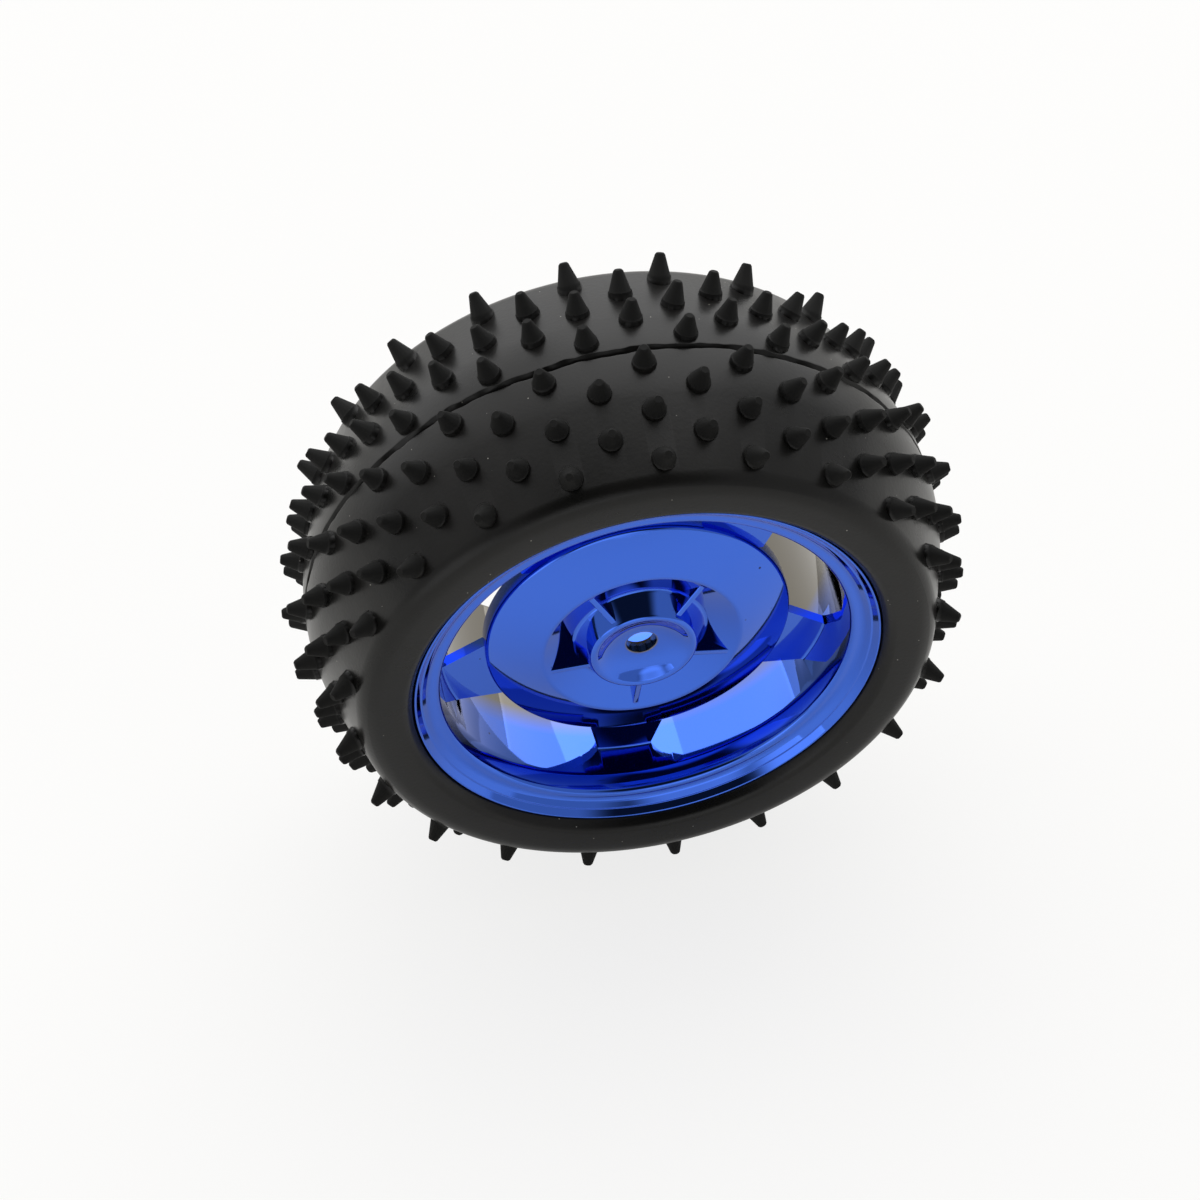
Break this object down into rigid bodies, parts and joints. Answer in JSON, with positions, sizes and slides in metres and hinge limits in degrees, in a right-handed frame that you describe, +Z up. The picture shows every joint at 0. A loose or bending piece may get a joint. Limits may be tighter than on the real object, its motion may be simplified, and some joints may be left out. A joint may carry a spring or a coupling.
{
  "type": "robot car wheel",
  "caption": "Spiked rubber tyre with staggered tapered pins over a foam ring, on a plated spoked rim with a raised centre cone and a hexagon drive socket for a small car's axle.",
  "frame": {"origin": "centre of the wheel, on the axle's line", "axes": "+Y along the axle towards the car, so the outer face looks to -Y; +Z up, with the wheel standing on its tread"},
  "size_m": [0.0918, 0.038, 0.0916],
  "materials": {
    "rim": "blue tinted mirror plating",
    "tyre": "satin black rubber",
    "foam": "matt open-cell sponge"
  },
  "bodies": {
    "root": {"rim": "rim", "tyre": "tyre", "foam_insert": "foam"}
  },
  "joints": []
}
